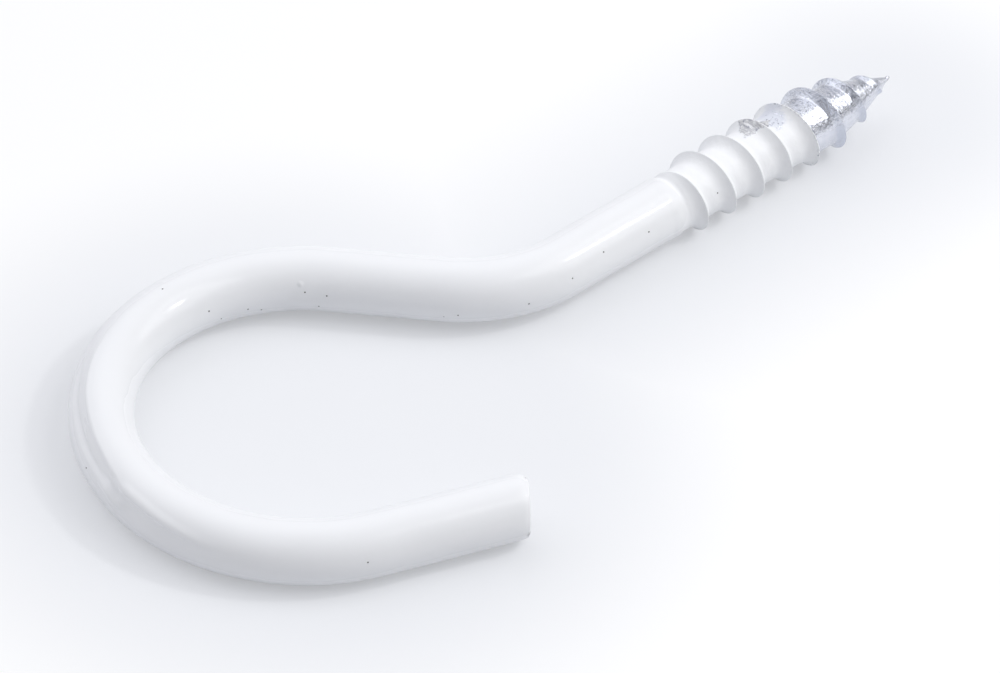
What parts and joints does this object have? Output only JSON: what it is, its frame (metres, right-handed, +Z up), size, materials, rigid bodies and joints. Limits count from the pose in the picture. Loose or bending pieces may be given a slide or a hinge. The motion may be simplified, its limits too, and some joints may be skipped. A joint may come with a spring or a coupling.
{
  "type": "screw hook",
  "caption": "Open round wire hook with a plain shank and a right-hand wood-screw thread running out to a gimlet point, in white-coated steel.",
  "frame": {"origin": "middle of the bounding box, at the table the hook lies on", "axes": "+X runs along the screw towards its point, +Z up from the table, and +Y towards the side the neck leans to"},
  "size_m": [0.0604, 0.029, 0.0047],
  "materials": {
    "white_coat": "glossy white coat on steel wire, worn through to bright zinc on the far half of the thread"
  },
  "bodies": {
    "root": {"screw_hook": "white_coat"}
  },
  "joints": []
}
